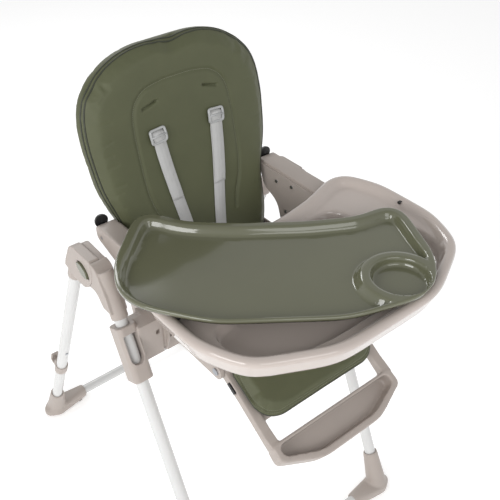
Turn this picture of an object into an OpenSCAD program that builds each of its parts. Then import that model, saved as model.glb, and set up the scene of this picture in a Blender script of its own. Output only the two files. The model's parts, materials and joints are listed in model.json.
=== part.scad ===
// Folding baby high chair with a height-adjustable, reclining seat.
// Millimetres. +Z is up, the child faces -Y, and +X is the child's left.
// The origin lies on the floor, midway between the four feet.

/* [Leg frame] */
// Distance from the middle of the chair to each leg's axis
leg_x = 233; // [195:1:290]
// Height of the level where the hub arms are laid out
hub_z = 720; // [600:1:880]
// Lean of each leg from the vertical, in degrees
leg_lean = 24; // [18:1:26]
// Distance of each leg's axis from the middle at the hub level
leg_gap = 31; // [28:1:36]
// Outside diameter of a leg tube
leg_d = 24; // [20:0.5:27]
// Wall of every frame tube
tube_wall = 1.5; // [1:0.1:2.5]
// Outside diameter of a crossbar
bar_d = 22; // [18:0.5:25]
// Height of the crossbar axes
bar_z = 20; // [18:1:30]
// Height at which a leg tube ends inside its foot
leg_end_z = 40; // [36:1:50]

/* [Feet] */
// Length of a foot from its crossbar socket to its outer tip
foot_l = 112; // [95:1:140]
// Depth of a foot from front to back
foot_w = 50; // [40:1:60]
// Height of the socket that holds the leg
foot_socket_h = 72; // [50:1:95]
// Thickness of a rubber foot pad
pad_t = 4; // [3:0.5:6]

/* [Hub] */
// Distance of the fold pin behind the middle
pin_y = 30; // [26:1:34]
// Distance of the fold pin below the hub level
pin_drop = 30; // [26:1:34]
// Radius of the fold pin
pin_r = 5; // [4:0.5:6]
// Radius of the curved seam between sleeve and elbow
seam_r = 58; // [54:1:62]
// Half thickness of a hub
hub_t = 16; // [14.5:0.5:18]
// Length of leg covered by the front sleeve, below the hub level
sleeve_l = 118; // [100:1:130]
// Length of the almond-shaped fold button
button_l = 44; // [34:1:46]
// Width of the fold button
button_w = 24; // [18:1:28]
// Travel of the fold button
button_travel = 4; // [3:0.5:5]

/* [Slider] */
// Length of a slider housing along its leg
slider_l = 110; // [90:1:130]
// Distance between the sleeve and the slider at the highest setting
slider_gap = 13; // [8:1:20]
// Width of a slider housing across the chair
slider_w = 39; // [36:1:44]
// Depth of a slider housing, square to the leg
slider_d = 42; // [36:1:48]
// Radial clearance between slider and leg
slider_clear = 0.4; // [0.3:0.05:0.6]
// Width of the front window
window_w = 27; // [14:1:28]
// Length of the front window
window_l = 60; // [36:1:64]

/* [Seat] */
// Gap between the armrests' outer faces and the leg axes
arm_inset = 26; // [24:1:32]
// Width of an armrest
arm_w = 39; // [34:1:44]
// Thickness of a side panel
panel_t = 4; // [3:0.5:5]
// Depth of the seat pan below the hub level
seat_drop = 164; // [150:1:185]
// Y of the seat's front edge
seat_front = -262; // [-280:1:-240]
// Wall of the seat shell
shell_t = 3; // [2.5:0.5:4]
// Thickness of the seat pad
seat_pad_t = 23; // [15:1:28]
// Drop of the armrest's top below the tray rim
arm_top_drop = 19; // [18.5:0.5:26]

/* [Backrest] */
// Lean of the backrest from the vertical, in degrees
back_lean = 13.5; // [9:0.5:18]
// Height of the backrest along its own plane
back_h = 474; // [430:1:520]
// Depth of the padded side band
back_d = 44; // [40:1:56]
// Thickness of the pad in front of the shell
back_pad_t = 28; // [20:1:30]
// Thickness of the cover round the shell's rim
cover_t = 8; // [6:0.5:10]
// Width of a harness strap
strap_w = 25; // [20:1:28]
// Thickness of a harness strap
strap_t = 2.5; // [2:0.5:3]

/* [Legrest] */
// Lean of the legrest below the horizontal, in degrees
leg_rest_tilt = 32; // [25:1:45]
// Half width over the legrest arms
rest_half_w = 147; // [135:1:149]
// Length from the pivot to the front lip
rest_l = 222; // [200:1:240]
// Width of a legrest arm
rest_arm_w = 20; // [16:1:24]
// Length of the calf pad
calf_l = 125; // [100:1:135]
// Thickness of the calf pad
calf_t = 15; // [8:1:18]

/* [Trays] */
// Height of the tray rim above the hub level
tray_rise = 46; // [44:1:60]
// Distance from the leg axes out to the tray's widest point
tray_overhang = 32; // [30:1:44]
// Height of the tray's outer wall
tray_h = 38; // [32:1:44]
// Y of the tray's front rim
tray_front = -496; // [-530:1:-480]
// Y of the tray's wing tips
tray_rear = -144; // [-150:1:-130]
// Half length of the insert tray
insert_half_l = 257; // [235:1:265]
// Depth of the insert tray from front to back
insert_w = 292; // [275:1:310]
// Height of the insert tray
insert_h = 18; // [14:1:24]
// Angle of the insert tray as it lies across the base tray, in degrees
insert_turn = -36.6; // [-45:0.1:-30]
// Radius of the cup recess
cup_r = 46; // [38:1:48]

/* [Hidden] */
$fn = 48;
hull_fn = 28;
corner_steps = 6;

// colours
beige = "#c9c0b9";
olive = "#62644c";
tray_green = "#73765d";
white = "#e9e9e8";
strap_grey = "#c3c3c3";
black = "#1b1b1b";
steel = "#b9bcc0";
rubber = "#8d8781";

// clearances
slide_gap = 0.3;       // between faces that slide past each other
fit_gap = 0.05;        // radial, round a pin or a tube in its socket
seam_gap = 0.5;        // at the seam of the hub
lug_gap = 1;           // beside the legrest's arms

// leg frame
leg_r = leg_d / 2;
bar_r = bar_d / 2;
leg_l = (hub_z - leg_end_z) / cos(leg_lean);
bar_y = leg_gap + (hub_z - bar_z) * tan(leg_lean);
foot_tip_x = leg_x + 29;
foot_in_x = foot_tip_x - foot_l;
bar_grip = 22;
pin_reach = 4;
button_in = 6;
button_out = 5.5;
pin_z = hub_z - pin_drop;
sleeve_r = leg_r + 3.5;

// slider and seat
slider_top = -sleeve_l - slider_gap;
slider_bottom = slider_top - slider_l;
arm_out = leg_x - arm_inset;
arm_in = arm_out - arm_w;
shell_out = arm_in - panel_t;
shell_in = shell_out - shell_t;
seat_z = hub_z - seat_drop;
base_bottom = seat_z - 41;
base_front = -113;
base_back = -5;
ear_in = rest_half_w + lug_gap;
ear_out = ear_in + 7;
pad_half = ear_in - 3;
pad_nose_half = rest_half_w - rest_arm_w - 3;

// backrest
back_y = -47;
back_z = hub_z - 160;
back_pivot = [25, 35];
pivot_y = back_y + back_pivot.x * cos(back_lean) + back_pivot.y * sin(back_lean);
pivot_z = back_z - back_pivot.x * sin(back_lean) + back_pivot.y * cos(back_lean);
pad_front = -10;
pad_crown = 16;
pad_back = pad_front + back_pad_t;
band_back = pad_front + back_d;
strap_front = pad_front - 0.5 - strap_t;
strap_lean = 7;

// legrest
rest_y = seat_front + 7;
rest_z = hub_z - 155;
rest_pin_r = 4;
rest_lug_r = 13;
wall_front = base_front - 12;

// trays
tray_z = hub_z + tray_rise;
tray_half = leg_x + tray_overhang;
tray_draft = 16;
arm_top = tray_z - arm_top_drop;
channel_gap = 1.5;
channel_top = arm_top + 1.6;
cap_z = arm_top - 9;
insert_at = [-54, -287];
insert_z = tray_z + 0.4;

// ---------------------------------------------------------------- helpers

function unit(v) = v / norm(v);
function sqr(v) = v * v;

// Points of one corner b, between a and c, rounded to radius r
function corner(a, b, c, r) =
  let (u = unit(a - b), w = unit(c - b), half = acos(u * w) / 2,
       m = b + unit(u + w) * (r / sin(half)),
       p = b + u * (r / tan(half)), q = b + w * (r / tan(half)),
       a0 = atan2(p.y - m.y, p.x - m.x), a1 = atan2(q.y - m.y, q.x - m.x),
       turn = ((a1 - a0 + 540) % 360) - 180)
  [for (i = [0 : corner_steps]) m + r * [cos(a0 + turn * i / corner_steps), sin(a0 + turn * i / corner_steps)]];

// An outline of [x, y, radius] corners turned into points
function rounded(c) =
  [for (i = [0 : len(c) - 1])
    let (b = c[i], a = c[(i + len(c) - 1) % len(c)], d = c[(i + 1) % len(c)])
    each (b[2] > 0 ? corner([a.x, a.y], [b.x, b.y], [d.x, d.y], b[2]) : [[b.x, b.y]])];

// A right-hand half outline joined to its mirror image
function both(half) = concat(half, [for (i = [len(half) - 1 : -1 : 0]) [-half[i].x, half[i].y, half[i][2]]]);

module outline(c) { polygon(rounded(c)); }

// Extrudes a (y, z) outline along X
module along_x(x0, x1) { translate([x0, 0, 0]) rotate([90, 0, 90]) linear_extrude(x1 - x0) children(); }

// Extrudes an (x, z) outline along Y
module along_y(y0, y1) { translate([0, y1, 0]) rotate([90, 0, 0]) linear_extrude(y1 - y0) children(); }

// A cylinder along X, centred on (y, z)
module rod_x(r, x0, x1, y, z) { translate([x0, y, z]) rotate([0, 90, 0]) cylinder(r = r, h = x1 - x0); }

// A box between two corners
module block(low, high) { translate(low) cube(high - low); }

// Draws a right-hand piece on the side that is asked for
module on_side(side) { mirror([side < 0 ? 1 : 0, 0, 0]) children(); }

module both_sides() { for (side = [-1, 1]) on_side(side) children(); }

module tube(r, z0, z1) {
  translate([0, 0, z0]) difference() {
    cylinder(r = r, h = z1 - z0);
    translate([0, 0, -1]) cylinder(r = r - tube_wall, h = z1 - z0 + 2);
  }
}

// Frames whose Z runs up a right-hand leg, with Z = 0 at the hub level
module front_leg_frame() { translate([leg_x, -leg_gap, hub_z]) rotate([-leg_lean, 0, 0]) children(); }
module rear_leg_frame() { translate([leg_x, leg_gap, hub_z]) rotate([leg_lean, 0, 0]) children(); }

// Frame of the backrest: Z runs up the back, Y points to the rear
module back_frame() { translate([0, back_y, back_z]) rotate([-back_lean, 0, 0]) children(); }

// Frame of the legrest: -Y runs out along it, Z points up out of its face
module rest_frame() { translate([0, rest_y, rest_z]) rotate([leg_rest_tilt, 0, 0]) children(); }

module insert_frame() { translate([insert_at.x, insert_at.y, insert_z]) rotate([0, 0, insert_turn]) children(); }

// ---------------------------------------------------------------- leg frame

module front_leg(side) { color(white) on_side(side) front_leg_frame() tube(leg_r, -leg_l, -30); }

module rear_leg(side) { color(white) on_side(side) rear_leg_frame() tube(leg_r, -leg_l, -66); }

module crossbar(y) {
  end = foot_in_x + bar_grip;
  color(white) translate([-end, y, bar_z]) rotate([0, 90, 0]) tube(bar_r, 0, 2 * end);
}

// A front foot on the right-hand side; a rear foot is its mirror image
module foot_solid() {
  difference() {
    union() {
      hull() {
        rod_x(bar_r + 4.5, foot_in_x, foot_in_x + 6, -bar_y, bar_z - 0.5);
        translate([leg_x - 4, -bar_y, pad_t]) cylinder(r = foot_w / 2, h = 20, $fn = hull_fn);
        translate([foot_tip_x - 17, -bar_y, pad_t]) cylinder(r = 17, h = 14, $fn = hull_fn);
      }
      hull() {
        translate([leg_x - 4, -bar_y, pad_t + 14]) cylinder(r = foot_w / 2 - 2, h = 6, $fn = hull_fn);
        front_leg_frame() translate([0, 0, -leg_l + foot_socket_h - 14])
          cylinder(r = leg_r + 4, h = 4, $fn = hull_fn);
      }
    }
    front_leg_frame() translate([0, 0, -leg_l]) cylinder(r = leg_r + fit_gap, h = leg_l);
    rod_x(bar_r + fit_gap, foot_in_x - 1, foot_in_x + bar_grip, -bar_y, bar_z);
    block([foot_in_x - 20, -bar_y - foot_w, -20], [foot_tip_x + 20, -bar_y + foot_w, pad_t]);
  }
}

module foot(side, rear) { color(beige) on_side(side) mirror([0, rear ? 1 : 0, 0]) foot_solid(); }

module foot_pads(rear) {
  color(rubber) both_sides() mirror([0, rear ? 1 : 0, 0])
    for (x = [foot_in_x + 20, leg_x + 4]) translate([x, -bar_y, 0]) cylinder(r = 11, h = pad_t);
}

// ---------------------------------------------------------------- hub

// Solid front arm of the hub, in (y, z) from the hub level
module sleeve_outline() {
  outline([[-4, -8, 0], [-42, -12, 22], [-68, -58, 30], [-82, -92, 0], [-56, -92, 0],
           [-34, -66, 20], [2, -72, 0], [16, -40, 0]]);
}

module pin_circle(r) { translate([pin_y, -pin_drop]) circle(r); }

module hub_sleeve(side) {
  color(beige) on_side(side) difference() {
    union() {
      difference() {
        union() {
          front_leg_frame() translate([0, 0, -sleeve_l]) cylinder(r1 = sleeve_r, r2 = hub_t, h = sleeve_l - 26);
          translate([0, 0, hub_z]) along_x(leg_x - hub_t, leg_x + hub_t + 2) sleeve_outline();
        }
        rod_x(seam_r + seam_gap, leg_x - hub_t - 1, leg_x + hub_t + 3, pin_y, pin_z);
      }
      translate([0, 0, hub_z]) along_x(leg_x - hub_t, leg_x - 2) union() {
        pin_circle(20);
        outline([[pin_y, -10, 0], [-36, -14, 10], [-50, -50, 10], [0, -62, 0], [pin_y, -50, 0]]);
      }
    }
    front_leg_frame() translate([0, 0, -sleeve_l - 1]) cylinder(r = leg_r + fit_gap, h = sleeve_l - 29);
    rod_x(pin_r, leg_x - hub_t - 1, leg_x, pin_y, pin_z);
  }
}

module hinge_pins() {
  color(steel) both_sides() difference() {
    rod_x(pin_r, leg_x - hub_t - 1.5, leg_x + pin_reach, pin_y, pin_z);
    rod_x(1.6, leg_x - hub_t - 3, leg_x - hub_t + 2, pin_y, pin_z);
  }
}

// The fold button's almond, where two arcs meet in points
module almond(extra) {
  r = (sqr(button_l / 2) + sqr(button_w / 2)) / button_w;
  dip = r - button_w / 2;
  translate([pin_y - 26, -pin_drop - 12]) rotate(29) intersection() {
    translate([0, dip]) circle(r + extra);
    translate([0, -dip]) circle(r + extra);
  }
}

module hub_elbow(side) {
  color(beige) on_side(side) difference() {
    union() {
      translate([0, 0, hub_z]) along_x(leg_x - 1.4, leg_x + hub_t + 2) intersection() {
        outline([[-34, -8, 0], [46, -8, 26], [72, -56, 30], [78, -72, 0], [48, -84, 6], [0, -84, 6], [-30, -46, 0]]);
        union() {
          pin_circle(seam_r);
          outline([[30, 4, 0], [50, 4, 0], [90, -80, 0], [50, -92, 0], [pin_y + 4, -60, 0]]);
        }
      }
      rear_leg_frame() translate([0, 0, -115]) cylinder(r1 = sleeve_r, r2 = hub_t, h = 51);
    }
    rear_leg_frame() translate([0, 0, -116]) cylinder(r = leg_r + fit_gap, h = 50);
    rod_x(pin_r + fit_gap, leg_x - 3, leg_x + pin_reach + 0.5, pin_y, pin_z);
    translate([0, 0, hub_z]) along_x(leg_x + hub_t - button_in - button_travel - seam_gap, leg_x + hub_t + 3) almond(slide_gap);
  }
}

module fold_button(side) {
  color(tray_green) on_side(side) translate([0, 0, hub_z])
    along_x(leg_x + hub_t - button_in, leg_x + hub_t + button_out) almond(0);
}

module tray_hooks() {
  color(beige) both_sides() rear_leg_frame() translate([0, 0, -545]) difference() {
    union() {
      cylinder(r = leg_r + 2.5, h = 26);
      block([-8, leg_r, 0], [8, leg_r + 22, 26]);
    }
    translate([0, 0, -1]) cylinder(r = leg_r + fit_gap, h = 28);
    block([-9, leg_r + 6, 6], [9, leg_r + 17, 27]);
  }
}

module rear_leg_screws() {
  color(steel) both_sides() rear_leg_frame() translate([0, 0, -443]) difference() {
    translate([0, -leg_r - 1.6, 0]) rotate([-90, 0, 0]) cylinder(r = 3.5, h = 3);
    translate([0, -leg_r - 2.6, 0]) rotate([-90, 0, 0]) cylinder(r = 1.2, h = 2, $fn = 6);
    translate([0, 0, -5]) cylinder(r = leg_r + 0.02, h = 10);
  }
}

// ---------------------------------------------------------------- sliders

module slider(side) {
  color(beige) on_side(side) difference() {
    union() {
      front_leg_frame() translate([0, 0, slider_bottom]) linear_extrude(slider_l)
        outline(both([[slider_w / 2, -slider_d / 2, 10], [slider_w / 2, slider_d / 2, 8]]));
      block([arm_in, base_front, base_bottom], [leg_x - slider_w / 2 + 3, base_front + 51, base_bottom + 85]);
    }
    front_leg_frame() {
      translate([0, 0, slider_bottom - 30]) cylinder(r = leg_r + slider_clear, h = slider_l + 60);
      translate([0, 0, slider_bottom + 34]) {
        block([-window_w / 2, -slider_d, window_w / 2], [window_w / 2, 0, window_l]);
        translate([0, 0, window_w / 2]) rotate([90, 0, 0]) cylinder(r = window_w / 2, h = slider_d);
      }
      block([-9 - slide_gap, slider_d / 2 - 5, slider_top - 62], [9 + slide_gap, slider_d, slider_top - 20]);
      block([-slider_w, -slider_d, slider_top], [slider_w, slider_d, slider_top + 60]);
    }
    block([arm_in + 6, base_front - 1, base_bottom + 50], [arm_in + 14, base_front + 8, base_bottom + 60]);
  }
}

module height_lever(side) {
  color(black) on_side(side) front_leg_frame()
    block([-9, slider_d / 2 - 1.2, slider_top - 62 + slide_gap], [9, slider_d / 2 + 5, slider_top - 20 - slide_gap]);
}

// ---------------------------------------------------------------- seat

module seat_shell() {
  color(beige) difference() {
    union() {
      both_sides() {
        along_x(shell_in, shell_out) outline([
          [wall_front, seat_z - 4, 0], [wall_front, seat_z + 40, 30],
          [-40, seat_z + 60, 30], [8, seat_z + 60, 18], [8, seat_z + 8, 10],
          [base_back, base_bottom, 8], [base_front, base_bottom, 6]]);
        along_x(ear_in, ear_out) union() {
          translate([rest_y, rest_z]) circle(15);
          outline([[rest_y, rest_z + 15, 0], [-170, seat_z, 0], [-170, seat_z - 4, 0], [rest_y, rest_z - 15, 0]]);
        }
      }
      block([-shell_in, wall_front, seat_z - 4], [shell_in, base_back, seat_z]);
      block([-ear_out, seat_front + 12, seat_z - 4], [ear_out, wall_front, seat_z]);
      block([-shell_in, base_front, base_bottom], [shell_in, base_front + shell_t, seat_z - 4]);
      block([-shell_in, base_back - shell_t, base_bottom], [shell_in, base_back, seat_z - 4]);
      for (x = [-80, 0, 80])
        block([x - 1.5, base_front + shell_t, base_bottom + 4], [x + 1.5, base_back - shell_t, seat_z - 4]);
    }
    both_sides() {
      rod_x(rest_pin_r, ear_in - 1, ear_out + 1, rest_y, rest_z);
      rod_x(pin_r, shell_in - 1, shell_out + 1, pivot_y, pivot_z);
    }
    both_sides() block([rest_half_w - rest_arm_w - lug_gap, seat_front, seat_z - 5],
                       [ear_in, rest_y + rest_lug_r + 2, seat_z + 1]);
    block([-16, -190, seat_z - 5], [16, -186, seat_z + 1]);
  }
}

module side_panel(side) {
  top = arm_top - 6;
  color(beige) on_side(side) difference() {
    along_x(shell_out, arm_in) outline([
      [base_front - 10, seat_z + 26, 24], [-236, rest_z + 62, 30], [-262, top, 12], [14, top, 0], [-6, top - 46, 26],
      [-46, top - 66, 40], [-74, top - 150, 60], [-62, base_bottom + 8, 8], [base_front, base_bottom + 8, 8]]);
    for (p = panel_screws()) rod_x(2, shell_out - 1, arm_in + 1, p.x, p.y);
  }
}

function panel_screws() = [[-43, arm_top - 25], [-87, arm_top - 18], [-73, arm_top - 82]];

module armrest_outline() {
  outline([[22, arm_top, 8], [-125, arm_top, 60], [-296, arm_top - 6, 12], [-300, arm_top - 24, 10],
           [-215, arm_top - 56, 50], [-110, arm_top - 62, 60], [-40, arm_top - 48, 30], [20, arm_top - 27, 12]]);
}

module armrest(side) {
  color(beige) on_side(side) difference() {
    along_x(arm_in, arm_out) armrest_outline();
    translate([0, 0, -3.5]) along_x(arm_in + shell_t, arm_out - shell_t) intersection() {
      armrest_outline();
      outline([[0, arm_top + 10, 0], [-320, arm_top + 10, 0], [-320, arm_top - 90, 0], [0, arm_top - 90, 0]]);
    }
    for (p = arm_screws()) rod_x(3.6, arm_out - 1.5, arm_out + 1, p.x, p.y);
    translate([arm_out - 16, 22, cap_z]) rotate([90, 0, 0]) cylinder(r = 6 + fit_gap, h = 12);
  }
}

function arm_screws() = [[2, arm_top - 18], [-64, arm_top - 28]];

module armrest_caps() {
  color(black) both_sides() translate([arm_out - 16, 0, cap_z]) {
    translate([0, 22, 0]) rotate([90, 0, 0]) cylinder(r = 6, h = 10);
    translate([0, 22.2, 9]) rotate([-90, 0, 0]) rotate_extrude()
      polygon(concat([[0, 0]], [for (a = [0 : 10 : 90]) [13 * cos(a), 2 + 12 * sin(a)]]));
  }
}

module side_screws() {
  color(steel) both_sides() {
    for (p = panel_screws()) rod_x(3.4, shell_out - 2, shell_out, p.x, p.y);
    for (p = arm_screws()) rod_x(3.4, arm_out - 1.5, arm_out - 0.2, p.x, p.y);
  }
}

module recline_pins() {
  color(steel) both_sides() rod_x(pin_r - 0.02, shell_out - 18, shell_out, pivot_y, pivot_z);
}

module legrest_pins() {
  color(steel) both_sides() {
    rod_x(rest_pin_r - 0.02, ear_in - 14, ear_out, rest_y, rest_z);
    rod_x(7, ear_out, ear_out + 2.5, rest_y, rest_z);
  }
}

module seat_pad() {
  color(olive) translate([0, 0, seat_z + 0.3]) linear_extrude(seat_pad_t)
    outline(both([[pad_half, -66, 20], [pad_half, -190, 40], [pad_nose_half, seat_front + 4, 40]]));
}

strap_z = seat_z + 0.3 + seat_pad_t + 0.4;
module crotch_strap() {
  color(strap_grey) block([-strap_w / 2, -190, strap_z], [strap_w / 2, -132, strap_z + strap_t]);
}

module harness_buckle() {
  color(strap_grey) translate([0, 0, strap_z]) difference() {
    linear_extrude(11) outline(both([[22, -92, 10], [24, -116, 8], [15, -132, 6]]));
    translate([0, -110, 8]) cylinder(r = 8, h = 4);
  }
}

module waist_straps() {
  color(strap_grey) both_sides() {
    block([24, -116 + 1, strap_z], [shell_in - 18, -94, strap_z + strap_t]);
    block([shell_in - 18, -116 + 1, strap_z], [shell_in - 15, -94, strap_z + 52]);
  }
}

// ---------------------------------------------------------------- backrest

// Outline of the backrest in its own (x, z) plane, drawn in by a margin
function back_outline(margin) =
  let (low = leg_x - 75 - margin, mid = leg_x - 71 - margin, high = leg_x - 50 - margin, top = back_h - margin)
  both([[low - 16, 22 + margin / 2, 16], [low, 100, 60], [mid, 190, 60], [high - 6, 245, 60],
        [high, top - 14, 84], [62, top, 140]]);

module backrest_shell() {
  color(beige) back_frame() difference() {
    union() {
      difference() {
        along_y(pad_back + 0.5, band_back + 4) outline(back_outline(cover_t + 0.5));
        along_y(pad_back - 5, band_back) outline(back_outline(cover_t + 0.5 + shell_t));
      }
      both_sides() {
        along_x(shell_out - 22, shell_out - 4) union() {
          translate([back_pivot.x, back_pivot.y]) circle(14);
          outline([[back_pivot.x - 4, 26, 4], [band_back + 4, 30, 4], [band_back + 4, 74, 6], [back_pivot.x - 4, 66, 6]]);
        }
      }
    }
    both_sides() rod_x(pin_r + fit_gap, shell_out - 24, shell_out - 2, back_pivot.x, back_pivot.y);
    for (x = [-67, 67], z = [330, 385]) block([x - 16, band_back - 1, z - 2], [x + 16, band_back + 6, z + 2]);
  }
}

module backrest_pad() {
  color(olive) back_frame() difference() {
    union() {
      along_y(pad_front, pad_front + pad_crown) outline(back_outline(pad_crown));
      along_y(pad_front + pad_crown, band_back) outline(back_outline(0));
    }
    along_y(pad_back, band_back + 10) outline(back_outline(cover_t));
    both_sides() block([shell_out - 24, back_pivot.x - 16, 0], [shell_out + 10, band_back + 10, 82]);
    for (x = [-67, 67]) block([x - 15, pad_front - 1, 383], [x + 15, pad_back + 1, 387]);
  }
}

module shoulder_strap(side) {
  color(strap_grey) on_side(side) back_frame() translate([64, strap_front, 334]) rotate([0, strap_lean, 0])
    block([-strap_w / 2, 0, -230], [strap_w / 2, strap_t, 0]);
}

module strap_adjusters() {
  color(strap_grey) back_frame() both_sides() translate([64, strap_front - 5.3, 322]) rotate([0, strap_lean, 0]) difference() {
    block([-17, 0, -13], [17, 5, 15]);
    for (z = [-9, 3]) block([-12.8, -1, z], [12.8, 6, z + 7]);
  }
}

module recline_housing() {
  color(beige) back_frame() translate([0, band_back + 4, 0]) difference() {
    along_y(0, 24) outline(both([[66, 300, 18], [66, 398, 18]]));
    along_y(4, 40) outline(both([[44 + slide_gap, 318, 8], [44 + slide_gap, 384, 8]]));
  }
}

module recline_handle() {
  color(black) back_frame() translate([0, band_back + 4, 0]) difference() {
    along_y(4 + slide_gap, 21) outline(both([[44, 319, 8], [44, 368, 8]]));
    along_y(9, 40) outline(both([[34, 328, 6], [34, 352, 6]]));
  }
}

// ---------------------------------------------------------------- legrest

module legrest_frame() {
  arm_in_x = rest_half_w - rest_arm_w;
  plate_y = -rest_l + 65;
  color(beige) rest_frame() difference() {
    union() {
      both_sides() {
        rod_x(rest_lug_r, arm_in_x, rest_half_w, 0, 0);
        along_x(arm_in_x, rest_half_w) outline([
          [6, 8, 4], [-calf_l - 6, 5, 20], [plate_y - 8, 8, 4], [plate_y - 8, -14, 6], [-60, -9, 30], [6, -10, 5]]);
      }
      block([-arm_in_x, -calf_l + 10, -4], [arm_in_x, -18, 1]);
      translate([0, 0, -22]) linear_extrude(31)
        outline(both([[rest_half_w - 4, plate_y, 8], [rest_half_w, plate_y - 32, 14], [70, -rest_l, 90]]));
    }
    both_sides() {
      rod_x(rest_pin_r + fit_gap, arm_in_x - 1, rest_half_w + 1, 0, 0);
      block([rest_half_w - 8, -50, -4], [rest_half_w + 1, -28, 4]);
    }
    translate([0, 0, -18]) linear_extrude(40)
      outline(both([[rest_half_w - 14, plate_y - 6, 10], [rest_half_w - 14, plate_y - 26, 14], [66, -rest_l + 13, 80]]));
  }
}

module calf_pad() {
  color(olive) rest_frame() translate([0, 0, 9]) linear_extrude(calf_t)
    outline(both([[rest_half_w - 4, 3 - rest_lug_r, 10], [rest_half_w - 4, -calf_l, 46]]));
}

module legrest_button(side) {
  color(black) on_side(side) rest_frame()
    block([rest_half_w - 4, -50 + slide_gap, -4 + slide_gap], [rest_half_w + 1.5, -28 - slide_gap, 4 - slide_gap]);
}

// ---------------------------------------------------------------- trays

// Outline of the base tray, drawn in by a margin
function tray_outline(margin) =
  both([[40, tray_rear - 42 - margin, 60], [120, tray_rear - 28 - margin, 60],
        [tray_half - 62 - margin * 0.8, tray_rear - margin, 26], [tray_half - 27 - margin, tray_rear - 10 - margin, 30],
        [tray_half - margin, tray_rear - 80, 70], [tray_half - margin, -350, 80],
        [tray_half - 34 - margin, tray_front + 62 + margin * 0.4, 76], [104, tray_front + margin, 130]]);

module base_tray() {
  low = tray_z - tray_h;
  wing_floor = tray_z - 14;
  color(beige) difference() {
    for (i = [0 : 2])
      translate([0, 0, low + i * tray_h / 3]) linear_extrude(tray_h * (3 - i) / 3)
        outline(tray_outline(tray_draft * (2 - i) / 2));
    // deep bowl in front, shallow floor on the wings
    translate([0, 0, low + 4]) linear_extrude(tray_h) outline(both([
      [arm_in - 14, tray_rear - 66, 24], [arm_in - 14, -322, 18], [tray_half - 42, -334, 18],
      [tray_half - 44, -386, 40], [tray_half - 86, tray_front + 62, 50], [90, tray_front + 48, 90]]));
    translate([0, 0, wing_floor]) linear_extrude(tray_h) outline(tray_outline(25));
    both_sides() {
      // channel for the armrest, and the hollow under the wing
      block([shell_out - channel_gap, -312, low - 1], [arm_out + channel_gap, 0, channel_top]);
      block([arm_out + 6, -306, low - 1], [tray_half - tray_draft - 4, tray_rear - 60, channel_top]);
      translate([tray_half - 17, -287, tray_z - 6]) block([-7, -3, 0], [7, 3, 10]);
    }
  }
}

module tray_catches() {
  color(black) both_sides() translate([tray_half - 17, -287, tray_z - 6])
    block([-6.5, -2.5, 0], [6.5, 2.5, 4]);
}

module tray_lever(side) {
  z = channel_top - slide_gap;
  color(beige) on_side(side)
    block([arm_out + 6 + slide_gap, -276, z - 10], [tray_half - tray_draft - 10, -236, z]);
}

// Outline of the insert tray in its own frame, drawn in by a margin
function insert_outline(margin) =
  let (rear = insert_w / 2 - margin, end = insert_half_l - margin)
  both([[60, rear - 48, 80], [150, rear - 38, 80], [end - 30, rear + 8, 30], [end, 0, 120],
        [end - 12, -rear + 50, 90], [100, -rear, 150]]);

module insert_tray() {
  cup = [insert_half_l - 60, -48];
  color(tray_green) insert_frame() difference() {
    union() {
      translate([0, 0, insert_h - 5]) linear_extrude(5) outline(insert_outline(0));
      linear_extrude(insert_h) outline(insert_outline(6));
    }
    translate([0, 0, 2.6]) linear_extrude(insert_h) difference() {
      outline(insert_outline(22));
      translate(cup) circle(cup_r + 12);
    }
    translate([cup.x, cup.y, 2.6]) cylinder(r = cup_r, h = insert_h);
  }
}

front_leg(-1);  // left_front_leg
front_leg(1);  // right_front_leg
crossbar(-bar_y);  // front_crossbar
foot(-1, false);  // left_front_foot
foot(1, false);  // right_front_foot
foot_pads(false);  // front_foot_pads
hub_sleeve(-1);  // left_hub_sleeve
hub_sleeve(1);  // right_hub_sleeve
hinge_pins();
rear_leg(-1);  // left_rear_leg
rear_leg(1);  // right_rear_leg
crossbar(bar_y);  // rear_crossbar
foot(-1, true);  // left_rear_foot
foot(1, true);  // right_rear_foot
foot_pads(true);  // rear_foot_pads
hub_elbow(-1);  // left_hub_elbow
hub_elbow(1);  // right_hub_elbow
tray_hooks();
rear_leg_screws();
fold_button(-1);  // left_fold_button
fold_button(1);  // right_fold_button
slider(-1);  // left_slider
slider(1);  // right_slider
seat_shell();
side_panel(-1);  // left_side_panel
side_panel(1);  // right_side_panel
armrest(-1);  // left_armrest
armrest(1);  // right_armrest
armrest_caps();
seat_pad();
crotch_strap();
waist_straps();
harness_buckle();
recline_pins();
legrest_pins();
side_screws();
height_lever(-1);  // left_height_lever
height_lever(1);  // right_height_lever
backrest_shell();
backrest_pad();
shoulder_strap(-1);  // left_shoulder_strap
shoulder_strap(1);  // right_shoulder_strap
strap_adjusters();
recline_housing();
recline_handle();
legrest_frame();
calf_pad();
legrest_button(-1);  // left_legrest_button
legrest_button(1);  // right_legrest_button
base_tray();
tray_catches();
tray_lever(-1);  // left_tray_lever
tray_lever(1);  // right_tray_lever
insert_tray();
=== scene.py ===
import json
import math

import bmesh
import bpy
import numpy as np
from bpy.props import FloatProperty, FloatVectorProperty, PointerProperty
from bpy.types import Operator, Panel, PropertyGroup
from mathutils import Matrix, Vector
from mathutils.geometry import delaunay_2d_cdt


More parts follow.
